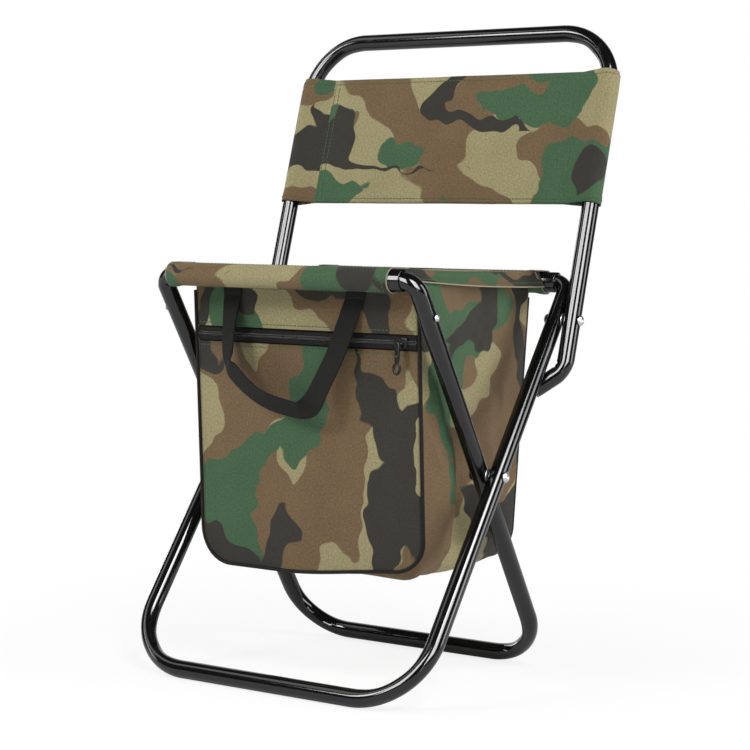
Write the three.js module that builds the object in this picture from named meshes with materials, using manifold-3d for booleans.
// Folding cooler stool with a backrest: crossed tube legs, cloth seat, insulated bag below.
// Millimetres, +Z up, +Y to the rear. The origin is on the floor under the middle of the stool.
import * as THREE from "three";
import { mergeVertices } from "three/addons/utils/BufferGeometryUtils.js";
import Module from "manifold-3d";

const wasm = await Module();
wasm.setup();

// Frame tubes
const TUBE_D = 16;
const TUBE_WALL = 1;
const RAIL_D = 19;
const RAIL_WALL = 1;
const FLOOR_BEND_R_OUTER = 60;
const FLOOR_BEND_R_INNER = 52;
const TOP_BEND_R = 13;
const SPIGOT_LENGTH = 22;
const RAIL_END_INSET = 11.5;

// Side view of the crossed legs, measured between tube axes
const SEAT_HEIGHT = 362;
const FOOT_SPREAD = 257.2;
const RAIL_SPREAD = 240.4;
const RAIL_SETBACK = 16;
const LEG_TO_BAG_GAP = 8;

// Backrest
const BACK_PIVOT_DROP = 41.9;
const BACK_LEAN = THREE.MathUtils.degToRad(15.6);
const BACK_HEIGHT = 280.8;
const BACK_TOP_BEND_R = 56;
const HOOK_ANGLE = THREE.MathUtils.degToRad(45);
const HOOK_LENGTH = 32;
const HOOK_BEND_R = 20;
const PLUG_DEPTH = 12;
const PLUG_RIM = 1.5;
const BAND_START = 111;
const BAND_HEIGHT = 130;
const BAND_SEAM_INSET = 29;
const BAND_THICK = 2.4;

// Rivets and washers
const RIVET_D = 5;
const RIVET_HEAD_D = 10;
const RIVET_HEAD_HEIGHT = 2.4;
const RIVET_DIMPLE_D = 4;
const RIVET_DIMPLE_DEPTH = 1;
const RIVET_TAIL_D = 8.4;
const RIVET_TAIL_HEIGHT = 1.4;
const UPPER_RIVET_DROP = 37;
const UPPER_RIVET_HEAD_D = 6.5;
const WASHER_D = 13;
const WASHER_THICK = 0.8;

// Seat cloth
const CLOTH_THICK = 1.2;
const SLING_OVERHANG = 2;
const SIDE_HEM_DROP = 13;
const SIDE_HEM_END_INSET = 12;

// Cooler bag, hung under the seat cloth
const BAG_WIDTH = 239;
const BAG_TOP_DROP = 10;
const BAG_HEIGHT = 248;
const BAG_FRONT_SETBACK = 30;
const BAG_REAR_SETBACK = 16;
const BAG_CORNER_R = 30;
const PANEL_LEAN = THREE.MathUtils.degToRad(4.8);
const LINER_THICK = 4;
const PIPING_D = 3.4;

// Front zipper
const FLAP_HEIGHT = 36;
const ZIPPER_TAPE_HEIGHT = 5.6;
const ZIPPER_TAPE_THICK = 0.9;
const ZIPPER_CHAIN_HEIGHT = 3;
const ZIPPER_CHAIN_THICK = 2.2;
const ZIPPER_END_INSET = 5;
const SLIDER_LENGTH = 10;
const SLIDER_HEIGHT = 8;
const SLIDER_THICK = 2.6;
const SLIDER_END_INSET = 12;
const BAIL_D = 1.8;
const BAIL_SPAN = 8;
const BAIL_STANDOFF = 2.4;
const PULL_LENGTH = 28;
const PULL_WIDTH = 6;
const PULL_THICK = 1.8;
const PULL_EYE_WALL = 1;
const PULL_HOLE_D = 3;

// Carry handle
const WEBBING_WIDTH = 20;
const WEBBING_THICK = 1.8;
const HANDLE_LEFT_X = 74;
const HANDLE_LEFT_DROP = 72;
const HANDLE_RIGHT_TOP_X = 58;
const HANDLE_RIGHT_FOOT_X = 24;
const HANDLE_RIGHT_DROP = 100;
const HANDLE_BEND_R = 16;
const HANDLE_TOP_BELOW_BAG_TOP = 4;
const HANDLE_TILT = THREE.MathUtils.degToRad(13);

// Fits and facets
const FIT_GAP = 0.3;
const TUBE_SIDES = 16;
const BORE_SIDES = 10;
const ROUND_SIDES = 20;
const RIVET_SIDES = 12;
const SMALL_SIDES = 8;
const BEND_STEPS = 7;
const DOME_STEPS = 3;

// Places worked out from the sizes above, in side view (y to the rear, z up)
const tubeR = TUBE_D / 2;
const railR = RAIL_D / 2;
const legPitch = TUBE_D + WASHER_THICK + 2 * FIT_GAP;
const bagHalf = BAG_WIDTH / 2;
const slingHalf = bagHalf + SLING_OVERHANG;
const innerLegX = bagHalf + LEG_TO_BAG_GAP + tubeR;
const outerLegX = innerLegX + legPitch;
const backLegX = outerLegX + legPitch;
const frontFoot = new THREE.Vector2(0, tubeR);
const rearFoot = new THREE.Vector2(FOOT_SPREAD, tubeR);
const frontRail = new THREE.Vector2(RAIL_SETBACK, SEAT_HEIGHT);
const rearRail = new THREE.Vector2(RAIL_SETBACK + RAIL_SPREAD, SEAT_HEIGHT);
const outerLeg = rearRail.clone().sub(frontFoot);
const innerLeg = frontRail.clone().sub(rearFoot);
const outerLean = Math.atan2(outerLeg.x, outerLeg.y);
const innerLean = Math.atan2(innerLeg.x, innerLeg.y);
const pivotShare = rearFoot.clone().sub(frontFoot).cross(innerLeg) / outerLeg.cross(innerLeg);
const legPivot = frontFoot.clone().addScaledVector(outerLeg, pivotShare);
const outerPivotRise = legPivot.distanceTo(frontFoot);
const innerPivotRise = legPivot.distanceTo(rearFoot);
const backPivotRise = outerLeg.length() - BACK_PIVOT_DROP;
const backPivot = frontFoot.clone().addScaledVector(outerLeg, backPivotRise / outerLeg.length());
const backRearEdge = backPivot.x + BACK_HEIGHT * Math.sin(BACK_LEAN) + tubeR;
const middleY = (backRearEdge - tubeR) / 2;

// A route of straight runs joined by round bends, with stations only where it turns
class BentPath extends THREE.Curve {
  constructor(corners, steps) {
    super();
    this.points = [];
    this.tangents = [];
    const last = corners.length - 1;
    const heading = (i) => corners[i + 1].at.clone().sub(corners[i].at).normalize();
    this.addStation(corners[0].at, heading(0));
    for (let i = 1; i < last; i += 1) {
      this.addBend(corners[i].at, heading(i - 1), heading(i), corners[i].radius, steps);
    }
    this.addStation(corners[last].at, heading(last - 1));
  }

  addStation(point, tangent) {
    this.points.push(point.clone());
    this.tangents.push(tangent.clone());
  }

  addBend(corner, before, after, radius, steps) {
    const turn = before.angleTo(after);
    const axis = before.clone().cross(after).normalize();
    const start = corner.clone().addScaledVector(before, -radius * Math.tan(turn / 2));
    const spoke = before.clone().cross(axis).multiplyScalar(radius);
    const centre = start.clone().sub(spoke);
    for (let k = 0; k <= steps; k += 1) {
      const angle = (turn * k) / steps;
      const point = spoke.clone().applyAxisAngle(axis, angle).add(centre);
      this.addStation(point, before.clone().applyAxisAngle(axis, angle));
    }
  }

  get steps() {
    return this.points.length - 1;
  }

  between(list, t) {
    const place = t * this.steps;
    const i = Math.min(Math.floor(place + Number.EPSILON), this.steps - 1);
    return list[i].clone().lerp(list[i + 1], place - i);
  }

  getPoint(t, target = new THREE.Vector3()) {
    return target.copy(this.between(this.points, t));
  }

  getPointAt(u, target) {
    return this.getPoint(u, target);
  }

  getTangent(t, target = new THREE.Vector3()) {
    return target.copy(this.between(this.tangents, t)).normalize();
  }

  getTangentAt(u, target) {
    return this.getTangent(u, target);
  }
}

// Joining and cutting of closed geometries
const toSolid = (geometry) => {
  const bare = geometry.clone();
  bare.deleteAttribute("normal");
  bare.deleteAttribute("uv");
  const merged = mergeVertices(bare);
  const vertProperties = Float32Array.from(merged.attributes.position.array);
  const triVerts = Uint32Array.from(merged.index.array);
  return new wasm.Manifold(new wasm.Mesh({ numProp: 3, vertProperties, triVerts }));
};

const toGeometry = (solid) => {
  const mesh = solid.getMesh();
  const geometry = new THREE.BufferGeometry();
  geometry.setAttribute("position", new THREE.BufferAttribute(mesh.vertProperties, 3));
  geometry.setIndex(new THREE.BufferAttribute(mesh.triVerts, 1));
  geometry.computeVertexNormals();
  return geometry;
};

const cut = (geometry, ...cutters) =>
  toGeometry(cutters.reduce((solid, cutter) => solid.subtract(toSolid(cutter)), toSolid(geometry)));

const join = (...geometries) =>
  toGeometry(geometries.map(toSolid).reduce((solid, other) => solid.add(other)));

const common = (geometry, other) => toGeometry(toSolid(geometry).intersect(toSolid(other)));

// Profiles and basic forms
const xAxis = new THREE.Vector3(1, 0, 0);
const yAxis = new THREE.Vector3(0, 1, 0);
const zAxis = new THREE.Vector3(0, 0, 1);

const roundHole = (x, y, radius, count) => {
  const corners = [];
  for (let i = 0; i < count; i += 1) {
    const angle = (-2 * Math.PI * i) / count;
    corners.push(new THREE.Vector2(x + radius * Math.cos(angle), y + radius * Math.sin(angle)));
  }
  return new THREE.Path(corners);
};

const ringShape = (outerR, innerR, boreSides = TUBE_SIDES) => {
  const shape = new THREE.Shape().absarc(0, 0, outerR, 0, 2 * Math.PI);
  if (innerR > 0) shape.holes.push(roundHole(0, 0, innerR, boreSides));
  return shape;
};

const frameTube = ringShape(tubeR, tubeR - TUBE_WALL, BORE_SIDES);
const frameBoreR = (tubeR - TUBE_WALL) * Math.cos(Math.PI / BORE_SIDES);

const sweep = (shape, path, sides) =>
  new THREE.ExtrudeGeometry(shape, {
    steps: path.steps,
    extrudePath: path,
    curveSegments: sides / 2,
    bevelEnabled: false,
  });

const extrude = (shape, depth, sides) =>
  new THREE.ExtrudeGeometry(shape, { depth, curveSegments: sides / 2, bevelEnabled: false });

// A side-view outline (y, z) carried evenly to both sides of the middle plane
const acrossWidth = (shape, width, sides = ROUND_SIDES) => {
  const toWorld = new THREE.Matrix4().makeBasis(yAxis, zAxis, xAxis);
  return extrude(shape, width, sides).applyMatrix4(toWorld).translate(-width / 2, 0, 0);
};

// A front-view outline (x, z) carried rearward from y = from by depth
const rearward = (shape, from, depth, sides = ROUND_SIDES) => {
  const toWorld = new THREE.Matrix4().makeBasis(xAxis, zAxis, yAxis.clone().negate());
  return extrude(shape, depth, sides).applyMatrix4(toWorld).translate(0, from + depth, 0);
};

const box = (from, to) => {
  const size = to.clone().sub(from);
  const middle = from.clone().add(to).multiplyScalar(1 / 2);
  return new THREE.BoxGeometry(size.x, size.y, size.z).translate(middle.x, middle.y, middle.z);
};

const rodAlongX = (radius, length, sides = ROUND_SIDES) =>
  new THREE.CylinderGeometry(radius, radius, length, sides).rotateZ(-Math.PI / 2);

const tubeAlongX = (outerR, innerR, length) => acrossWidth(ringShape(outerR, innerR), length, TUBE_SIDES);

// Materials
const surface = (color, roughness, metalness) =>
  new THREE.MeshStandardMaterial({ color, roughness, metalness });
const blackPaint = surface(0x0b0b0c, 0.2, 0.4);
const brightMetal = surface(0xc9c9cc, 0.25, 1);
const blackPlastic = surface(0x18181a, 0.5, 0);
const camoCloth = surface(0x7c6a4c, 0.85, 0);
const blackWebbing = surface(0x111113, 0.8, 0);
const foilFoam = surface(0xb9bcc0, 0.35, 0.6);
const blackTape = surface(0x151517, 0.75, 0);

// Assembly helpers
const stool = new THREE.Group();
stool.position.y = -middleY;

const addMesh = (parent, name, geometry, material) => {
  const mesh = new THREE.Mesh(geometry, material);
  mesh.name = name;
  parent.add(mesh);
  return mesh;
};

const addPlane = (parent, origin, lean) => {
  const group = new THREE.Group();
  group.position.set(0, origin.x, origin.y);
  group.rotation.x = -lean;
  parent.add(group);
  return group;
};

const sides = [
  { name: "left", sign: -1 },
  { name: "right", sign: 1 },
];

// Leg frames: U tubes whose top ends turn inward into the seat rails
const drillAcross = (height) => rodAlongX(RIVET_D / 2 + FIT_GAP, 3 * backLegX).translate(0, 0, height);

const legTube = (legX, height, floorBendR) => {
  const corner = (x, z, radius) => ({ at: new THREE.Vector3(x, 0, z), radius });
  const spigotX = legX - TOP_BEND_R - SPIGOT_LENGTH;
  const path = new BentPath(
    [
      corner(spigotX, height),
      corner(legX, height, TOP_BEND_R),
      corner(legX, 0, floorBendR),
      corner(-legX, 0, floorBendR),
      corner(-legX, height, TOP_BEND_R),
      corner(-spigotX, height),
    ],
    BEND_STEPS,
  );
  return sweep(frameTube, path, TUBE_SIDES);
};

const seatRail = (legX, height) =>
  tubeAlongX(railR, railR - RAIL_WALL, 2 * (legX - RAIL_END_INSET)).translate(0, 0, height);

const outerPlane = addPlane(stool, frontFoot, outerLean);
const outerHeight = outerLeg.length();
addMesh(
  outerPlane,
  "front_foot_frame",
  cut(
    legTube(outerLegX, outerHeight, FLOOR_BEND_R_OUTER),
    drillAcross(outerPivotRise),
    drillAcross(backPivotRise),
  ),
  blackPaint,
);
addMesh(outerPlane, "rear_rail", seatRail(outerLegX, outerHeight), blackPaint);

const innerPlane = addPlane(stool, rearFoot, innerLean);
const innerHeight = innerLeg.length();
const upperRivetRise = innerHeight - UPPER_RIVET_DROP;
addMesh(
  innerPlane,
  "rear_foot_frame",
  cut(
    legTube(innerLegX, innerHeight, FLOOR_BEND_R_INNER),
    drillAcross(innerPivotRise),
    drillAcross(upperRivetRise),
  ),
  blackPaint,
);
addMesh(innerPlane, "front_rail", seatRail(innerLegX, innerHeight), blackPaint);

// Backrest frame: an inverted U whose hooks lie along the back of the outer legs
const backPlane = addPlane(stool, backPivot, BACK_LEAN);
const legBehindBack = outerLean - BACK_LEAN;
const hookDrop = (TUBE_D + FIT_GAP) / Math.sin(legBehindBack);
const downTheLeg = new THREE.Vector3(0, -Math.sin(legBehindBack), -Math.cos(legBehindBack));

const hookHeading = (sign) =>
  downTheLeg
    .clone()
    .multiplyScalar(Math.cos(HOOK_ANGLE))
    .addScaledVector(xAxis, -sign * Math.sin(HOOK_ANGLE));

const hookCorner = (sign) => new THREE.Vector3(sign * backLegX, 0, -hookDrop);
const hookEnd = (sign) => hookCorner(sign).addScaledVector(hookHeading(sign), HOOK_LENGTH);

const backPath = new BentPath(
  [
    { at: hookEnd(1) },
    { at: hookCorner(1), radius: HOOK_BEND_R },
    { at: new THREE.Vector3(backLegX, 0, BACK_HEIGHT), radius: BACK_TOP_BEND_R },
    { at: new THREE.Vector3(-backLegX, 0, BACK_HEIGHT), radius: BACK_TOP_BEND_R },
    { at: hookCorner(-1), radius: HOOK_BEND_R },
    { at: hookEnd(-1) },
  ],
  BEND_STEPS,
);
const backTube = sweep(frameTube, backPath, TUBE_SIDES);
addMesh(backPlane, "back_frame", cut(backTube, drillAcross(0)), blackPaint);

const plugProfile = () => {
  const stemR = frameBoreR - FIT_GAP;
  return [
    new THREE.Vector2(0, -PLUG_DEPTH),
    new THREE.Vector2(stemR, -PLUG_DEPTH),
    new THREE.Vector2(stemR, FIT_GAP),
    new THREE.Vector2(tubeR, FIT_GAP),
    new THREE.Vector2(tubeR - PLUG_RIM / 2, FIT_GAP + PLUG_RIM),
    new THREE.Vector2(0, FIT_GAP + PLUG_RIM),
  ];
};

for (const { name, sign } of sides) {
  const plug = new THREE.LatheGeometry(plugProfile(), TUBE_SIDES);
  const mesh = addMesh(backPlane, `back_end_plug_${name}`, plug, blackPlastic);
  mesh.position.copy(hookEnd(sign));
  mesh.quaternion.setFromUnitVectors(yAxis, hookHeading(sign));
}

// Rivets: a dimpled dome outside, a shank through the tubes and an upset tail inside
const rivet = (grip, headD, tailD) => {
  const headR = headD / 2;
  const dimpleR = Math.min(RIVET_DIMPLE_D, headD - RIVET_TAIL_HEIGHT) / 2;
  const profile = new THREE.Path()
    .moveTo(0, -grip - RIVET_TAIL_HEIGHT)
    .lineTo(tailD / 2, -grip - RIVET_TAIL_HEIGHT)
    .lineTo(tailD / 2, -grip)
    .lineTo(RIVET_D / 2, -grip)
    .lineTo(RIVET_D / 2, 0)
    .lineTo(headR, 0)
    .quadraticCurveTo(headR, RIVET_HEAD_HEIGHT, dimpleR, RIVET_HEAD_HEIGHT)
    .lineTo(0, RIVET_HEAD_HEIGHT - RIVET_DIMPLE_DEPTH);
  return new THREE.LatheGeometry(profile.getPoints(DOME_STEPS), RIVET_SIDES);
};

const addRivets = (plane, label, outsideX, grip, height, headD, tailD) => {
  for (const { name, sign } of sides) {
    const geometry = rivet(grip, headD, tailD).rotateZ((-sign * Math.PI) / 2);
    geometry.translate(sign * outsideX, 0, height);
    addMesh(plane, `${label}_${name}`, geometry, brightMetal);
  }
};

const addWashers = (plane, label, insideX, height) => {
  for (const { name, sign } of sides) {
    const washer = tubeAlongX(WASHER_D / 2, RIVET_D / 2 + FIT_GAP, WASHER_THICK);
    washer.translate(sign * (insideX + tubeR + FIT_GAP + WASHER_THICK / 2), 0, height);
    addMesh(plane, `${label}_${name}`, washer, brightMetal);
  }
};

const singleGrip = TUBE_D + 2 * FIT_GAP;
const doubleGrip = singleGrip + legPitch;
const headX = (legX) => legX + tubeR + FIT_GAP;
addRivets(
  outerPlane, "leg_pivot_rivet", headX(outerLegX), doubleGrip, outerPivotRise, RIVET_HEAD_D, RIVET_TAIL_D,
);
addWashers(outerPlane, "leg_pivot_washer", innerLegX, outerPivotRise);
addRivets(
  outerPlane, "back_pivot_rivet", headX(backLegX), doubleGrip, backPivotRise, RIVET_HEAD_D, RIVET_TAIL_D,
);
addWashers(outerPlane, "back_pivot_washer", outerLegX, backPivotRise);
addRivets(
  innerPlane, "upper_leg_rivet", headX(innerLegX), singleGrip, upperRivetRise,
  UPPER_RIVET_HEAD_D, UPPER_RIVET_HEAD_D,
);

// Backrest band: two plies sewn together, with a sleeve that follows each back tube into its bend
const bandOutline = () => {
  const sleeveR = tubeR + FIT_GAP + CLOTH_THICK;
  const seamX = backLegX - BAND_SEAM_INSET;
  const half = BAND_THICK / 2;
  return new THREE.Shape()
    .moveTo(-seamX, -half)
    .lineTo(seamX, -half)
    .lineTo(backLegX, -sleeveR)
    .absarc(backLegX, 0, sleeveR, -Math.PI / 2, Math.PI / 2)
    .lineTo(seamX, half)
    .lineTo(-seamX, half)
    .lineTo(-backLegX, sleeveR)
    .absarc(-backLegX, 0, sleeveR, Math.PI / 2, 1.5 * Math.PI);
};
const band = extrude(bandOutline(), BAND_HEIGHT, ROUND_SIDES).translate(0, 0, BAND_START);
const bandBore = sweep(ringShape(tubeR + FIT_GAP, 0), backPath, TUBE_SIDES);
addMesh(backPlane, "back_band", cut(band, bandBore), camoCloth);

// Seat cloth: sleeves on both rails and a sheet between them with a turned-down hem
const sleeveInnerR = railR + FIT_GAP;
const sleeveOuterR = sleeveInnerR + CLOTH_THICK;
const addSleeve = (plane, name, height) => {
  const sleeve = tubeAlongX(sleeveOuterR, sleeveInnerR, 2 * slingHalf).translate(0, 0, height);
  addMesh(plane, name, sleeve, camoCloth);
};
addSleeve(outerPlane, "sling_rear_sleeve", outerHeight);
addSleeve(innerPlane, "sling_front_sleeve", innerHeight);

const sheetTop = SEAT_HEIGHT + sleeveOuterR;
const sheetBottom = sheetTop - CLOTH_THICK;
const sheetReach = Math.sqrt((sleeveOuterR + FIT_GAP) ** 2 - (sheetBottom - SEAT_HEIGHT) ** 2);
const sheetFront = frontRail.x + sheetReach;
const sheetRear = rearRail.x - sheetReach;
const bagTopFront = frontRail.x + BAG_FRONT_SETBACK;
const bagTopRear = rearRail.x - BAG_REAR_SETBACK;
const bagTopHeight = SEAT_HEIGHT - BAG_TOP_DROP;
const wallTop = bagTopHeight + FIT_GAP;

const slingSheet = () => {
  const parts = [
    box(
      new THREE.Vector3(-slingHalf, sheetFront, sheetBottom),
      new THREE.Vector3(slingHalf, sheetRear, sheetTop),
    ),
  ];
  for (const { sign } of sides) {
    const hemX = sign * (slingHalf - CLOTH_THICK / 2);
    parts.push(
      new THREE.BoxGeometry(CLOTH_THICK, sheetRear - sheetFront - 2 * SIDE_HEM_END_INSET, SIDE_HEM_DROP)
        .translate(hemX, (sheetFront + sheetRear) / 2, sheetTop - SIDE_HEM_DROP / 2),
    );
  }
  const innerHalf = bagHalf - CLOTH_THICK - FIT_GAP;
  for (const y of [bagTopFront, bagTopRear - CLOTH_THICK]) {
    parts.push(
      box(
        new THREE.Vector3(-innerHalf, y, wallTop),
        new THREE.Vector3(innerHalf, y + CLOTH_THICK, (sheetBottom + sheetTop) / 2),
      ),
    );
  }
  return join(...parts);
};
addMesh(stool, "seat_sling", slingSheet(), camoCloth);

// Cooler bag: leaning front and rear panels, and one gusset strip round the sides and bottom
const panelShape = (halfWidth, top, bottom, radius) => {
  const shape = new THREE.Shape().moveTo(-halfWidth, top).lineTo(-halfWidth, bottom + radius);
  if (radius > 0) shape.absarc(radius - halfWidth, bottom + radius, radius, Math.PI, 1.5 * Math.PI);
  shape.lineTo(halfWidth - radius, bottom);
  if (radius > 0) shape.absarc(halfWidth - radius, bottom + radius, radius, 1.5 * Math.PI, 2 * Math.PI);
  return shape.lineTo(halfWidth, top);
};

const stripShape = (halfWidth, top, bottom, radius, wall) => {
  const shape = panelShape(halfWidth, top, bottom, radius).lineTo(halfWidth - wall, top);
  const innerR = radius - wall;
  return shape
    .lineTo(halfWidth - wall, bottom + radius)
    .absarc(halfWidth - radius, bottom + radius, innerR, 2 * Math.PI, 1.5 * Math.PI, true)
    .lineTo(radius - halfWidth, bottom + wall)
    .absarc(radius - halfWidth, bottom + radius, innerR, 1.5 * Math.PI, Math.PI, true)
    .lineTo(wall - halfWidth, top);
};

const frontPanelPlane = addPlane(stool, new THREE.Vector2(bagTopFront, bagTopHeight), -PANEL_LEAN);
const rearPanelPlane = addPlane(stool, new THREE.Vector2(bagTopRear, bagTopHeight), PANEL_LEAN);
const panelHeight = BAG_HEIGHT / Math.cos(PANEL_LEAN);
const bagBottomHeight = bagTopHeight - BAG_HEIGHT;

// The room between the two leaning panels, drawn in by inset from each outer face
const betweenPanels = (inset, top) => {
  const drawnIn = inset / Math.cos(PANEL_LEAN);
  const lean = (z) => (bagTopHeight - z) * Math.tan(PANEL_LEAN) + drawnIn;
  const floor = bagBottomHeight - BAG_CORNER_R;
  const outline = new THREE.Shape()
    .moveTo(bagTopFront + lean(top), top)
    .lineTo(bagTopFront + lean(floor), floor)
    .lineTo(bagTopRear - lean(floor), floor)
    .lineTo(bagTopRear - lean(top), top);
  return acrossWidth(outline, 2 * BAG_WIDTH);
};

const gussetStrip = (outset, wall, inset) => {
  const depth = bagTopRear - bagTopFront;
  const top = sheetBottom - FIT_GAP;
  const strip = stripShape(bagHalf - outset, top, bagBottomHeight + outset, BAG_CORNER_R - outset, wall);
  return common(rearward(strip, bagTopFront, depth), betweenPanels(inset, top));
};

const linerOutset = CLOTH_THICK + FIT_GAP;
const linerInset = linerOutset + LINER_THICK + FIT_GAP;
addMesh(stool, "bag_gusset", gussetStrip(0, CLOTH_THICK, linerOutset), camoCloth);
addMesh(stool, "liner_gusset", gussetStrip(linerOutset, LINER_THICK, linerInset), foilFoam);

const rearPanel = panelShape(bagHalf, 0, -panelHeight, BAG_CORNER_R);
addMesh(rearPanelPlane, "bag_rear_panel", rearward(rearPanel, -CLOTH_THICK, CLOTH_THICK), camoCloth);
const linerShape = (top) =>
  panelShape(bagHalf - linerOutset, top, linerOutset - panelHeight, BAG_CORNER_R - linerOutset);
addMesh(
  rearPanelPlane, "liner_rear", rearward(linerShape(0), -linerOutset - LINER_THICK, LINER_THICK), foilFoam,
);

// Front panel: a flap above the zipper and a panel below it, with the lining behind
const upperTapeTop = -FLAP_HEIGHT - FIT_GAP;
const upperTapeBottom = upperTapeTop - ZIPPER_TAPE_HEIGHT;
const chainTop = upperTapeBottom - FIT_GAP;
const chainBottom = chainTop - ZIPPER_CHAIN_HEIGHT;
const lowerTapeTop = chainBottom - FIT_GAP;
const lowerTapeBottom = lowerTapeTop - ZIPPER_TAPE_HEIGHT;
const frontPanelTop = lowerTapeBottom - FIT_GAP;
const zipperHalf = bagHalf - ZIPPER_END_INSET;

const flap = panelShape(bagHalf, 0, -FLAP_HEIGHT, 0);
addMesh(frontPanelPlane, "bag_front_flap", rearward(flap, 0, CLOTH_THICK), camoCloth);
const frontPanel = panelShape(bagHalf, frontPanelTop, -panelHeight, BAG_CORNER_R);
addMesh(frontPanelPlane, "bag_front_panel", rearward(frontPanel, 0, CLOTH_THICK), camoCloth);
addMesh(
  frontPanelPlane, "liner_front", rearward(linerShape(frontPanelTop), linerOutset, LINER_THICK), foilFoam,
);

const zipperStrip = (top, bottom, thick) =>
  rearward(panelShape(zipperHalf, top, bottom, 0), (CLOTH_THICK - thick) / 2, thick);
addMesh(
  frontPanelPlane, "zipper_tape_upper",
  zipperStrip(upperTapeTop, upperTapeBottom, ZIPPER_TAPE_THICK), blackTape,
);
addMesh(frontPanelPlane, "zipper_coil", zipperStrip(chainTop, chainBottom, ZIPPER_CHAIN_THICK), blackTape);
addMesh(
  frontPanelPlane, "zipper_tape_lower",
  zipperStrip(lowerTapeTop, lowerTapeBottom, ZIPPER_TAPE_THICK), blackTape,
);

// Piping: a welt along both sides and the bottom of each panel
const piping = (y) => {
  const out = PIPING_D / 2 + FIT_GAP;
  const corner = (x, z, radius) => ({ at: new THREE.Vector3(x, y, z), radius });
  const x = bagHalf + out;
  const bottom = -panelHeight - out;
  const path = new BentPath(
    [
      corner(x, 0),
      corner(x, bottom, BAG_CORNER_R + out),
      corner(-x, bottom, BAG_CORNER_R + out),
      corner(-x, 0),
    ],
    BEND_STEPS,
  );
  return sweep(ringShape(PIPING_D / 2, 0), path, SMALL_SIDES);
};
addMesh(frontPanelPlane, "front_piping", piping(CLOTH_THICK / 2), blackTape);
addMesh(rearPanelPlane, "rear_piping", piping(-CLOTH_THICK / 2), blackTape);

// Zipper slider: a plate in front of the chain with a bail along the zipper, and a pull on the bail
const sliderX = zipperHalf - SLIDER_END_INSET;
const sliderZ = (chainTop + chainBottom) / 2;
const sliderBack = (CLOTH_THICK - ZIPPER_CHAIN_THICK) / 2 - FIT_GAP;
const bailY = sliderBack - SLIDER_THICK - BAIL_STANDOFF;

const sliderBody = () => {
  const plate = new THREE.Shape()
    .moveTo(-SLIDER_LENGTH / 2, -SLIDER_HEIGHT / 4)
    .lineTo(0, -SLIDER_HEIGHT / 2)
    .lineTo(SLIDER_LENGTH / 2, -SLIDER_HEIGHT / 2)
    .lineTo(SLIDER_LENGTH / 2, SLIDER_HEIGHT / 2)
    .lineTo(0, SLIDER_HEIGHT / 2)
    .lineTo(-SLIDER_LENGTH / 2, SLIDER_HEIGHT / 4);
  const bail = rodAlongX(BAIL_D / 2, BAIL_SPAN, SMALL_SIDES).translate(0, bailY, 0);
  const postLength = SLIDER_THICK / 2 + BAIL_STANDOFF;
  const posts = sides.map(({ sign }) => {
    const x = (sign * (BAIL_SPAN - BAIL_D)) / 2;
    const post = new THREE.CylinderGeometry(BAIL_D / 2, BAIL_D / 2, postLength, SMALL_SIDES);
    return post.translate(x, bailY + postLength / 2, 0);
  });
  return join(rearward(plate, sliderBack - SLIDER_THICK, SLIDER_THICK), bail, ...posts);
};

const pullTab = () => {
  const eyeInnerR = BAIL_D / 2 + FIT_GAP;
  const eyeOuterR = eyeInnerR + PULL_EYE_WALL;
  const eyeWidth = BAIL_SPAN - 2 * BAIL_D - 2 * FIT_GAP;
  const eye = acrossWidth(ringShape(eyeOuterR, eyeInnerR), eyeWidth);
  const endR = PULL_WIDTH / 2;
  const tab = new THREE.Shape()
    .moveTo(-eyeWidth / 2, -(eyeInnerR + eyeOuterR) / 2)
    .lineTo(-endR, -PULL_LENGTH / 2)
    .lineTo(-endR, endR - PULL_LENGTH)
    .absarc(0, endR - PULL_LENGTH, endR, Math.PI, 2 * Math.PI)
    .lineTo(endR, -PULL_LENGTH / 2)
    .lineTo(eyeWidth / 2, -(eyeInnerR + eyeOuterR) / 2);
  tab.holes.push(roundHole(0, endR - PULL_LENGTH, PULL_HOLE_D / 2, BORE_SIDES));
  return join(eye, rearward(tab, -PULL_THICK / 2, PULL_THICK));
};
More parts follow.
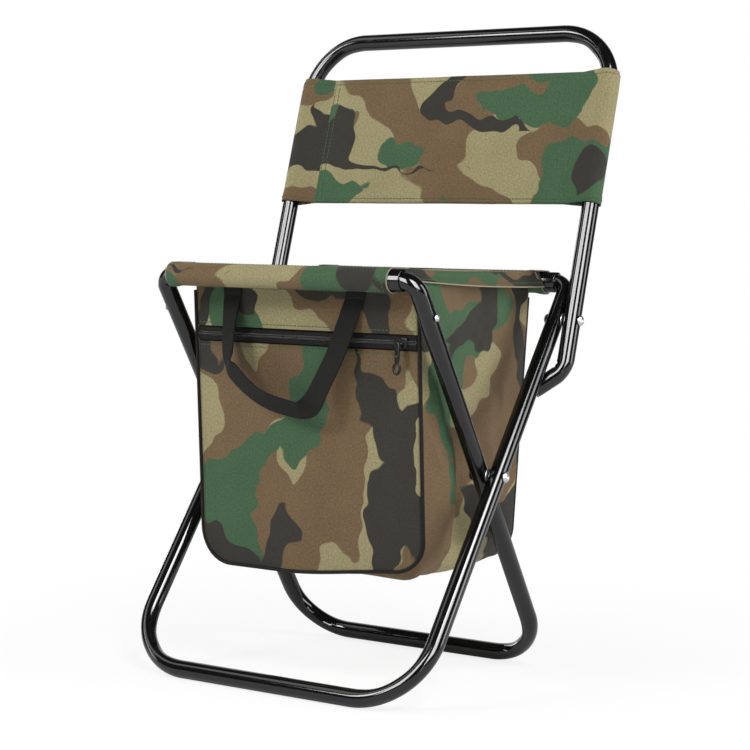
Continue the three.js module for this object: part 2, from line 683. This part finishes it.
const slider = addMesh(frontPanelPlane, "zipper_slider", sliderBody(), blackPlastic);
slider.position.set(sliderX, 0, sliderZ);
const pull = addMesh(frontPanelPlane, "zipper_pull", pullTab(), blackPlastic);
pull.position.set(sliderX, bailY, sliderZ);
pull.rotation.x = -PANEL_LEAN;

// Carry handle: a webbing loop sewn to the flap, hanging askew and standing off the panel
const handlePlane = addPlane(
  frontPanelPlane,
  new THREE.Vector2(-WEBBING_THICK / 2 - FIT_GAP, -HANDLE_TOP_BELOW_BAG_TOP),
  HANDLE_TILT,
);
const webbing = new THREE.Shape()
  .moveTo(-WEBBING_THICK / 2, -WEBBING_WIDTH / 2)
  .lineTo(WEBBING_THICK / 2, -WEBBING_WIDTH / 2)
  .lineTo(WEBBING_THICK / 2, WEBBING_WIDTH / 2)
  .lineTo(-WEBBING_THICK / 2, WEBBING_WIDTH / 2);
const rightLegLean = Math.atan2(HANDLE_RIGHT_TOP_X - HANDLE_RIGHT_FOOT_X, HANDLE_RIGHT_DROP);
const rightEndDrop = (WEBBING_WIDTH / 2) * Math.abs(Math.sin(rightLegLean));
const handlePath = new BentPath(
  [
    { at: new THREE.Vector3(HANDLE_RIGHT_TOP_X, 0, -rightEndDrop) },
    { at: new THREE.Vector3(HANDLE_RIGHT_FOOT_X, 0, -HANDLE_RIGHT_DROP), radius: HANDLE_BEND_R },
    { at: new THREE.Vector3(-HANDLE_LEFT_X, 0, -HANDLE_LEFT_DROP), radius: HANDLE_BEND_R },
    { at: new THREE.Vector3(-HANDLE_LEFT_X, 0, 0) },
  ],
  BEND_STEPS,
);
addMesh(handlePlane, "carry_handle", sweep(webbing, handlePath, SMALL_SIDES), blackWebbing);

// Key places for the joints, in the stool's own frame
const place = (point) => [0, point.x - middleY, point.y].map((value) => value.toFixed(2)).join(", ");
console.log("leg pivot", place(legPivot), "back pivot", place(backPivot));
console.log("bag front top", place(new THREE.Vector2(bagTopFront, bagTopHeight)));
console.log("front rail", place(frontRail), "rear rail", place(rearRail));

export default stool;
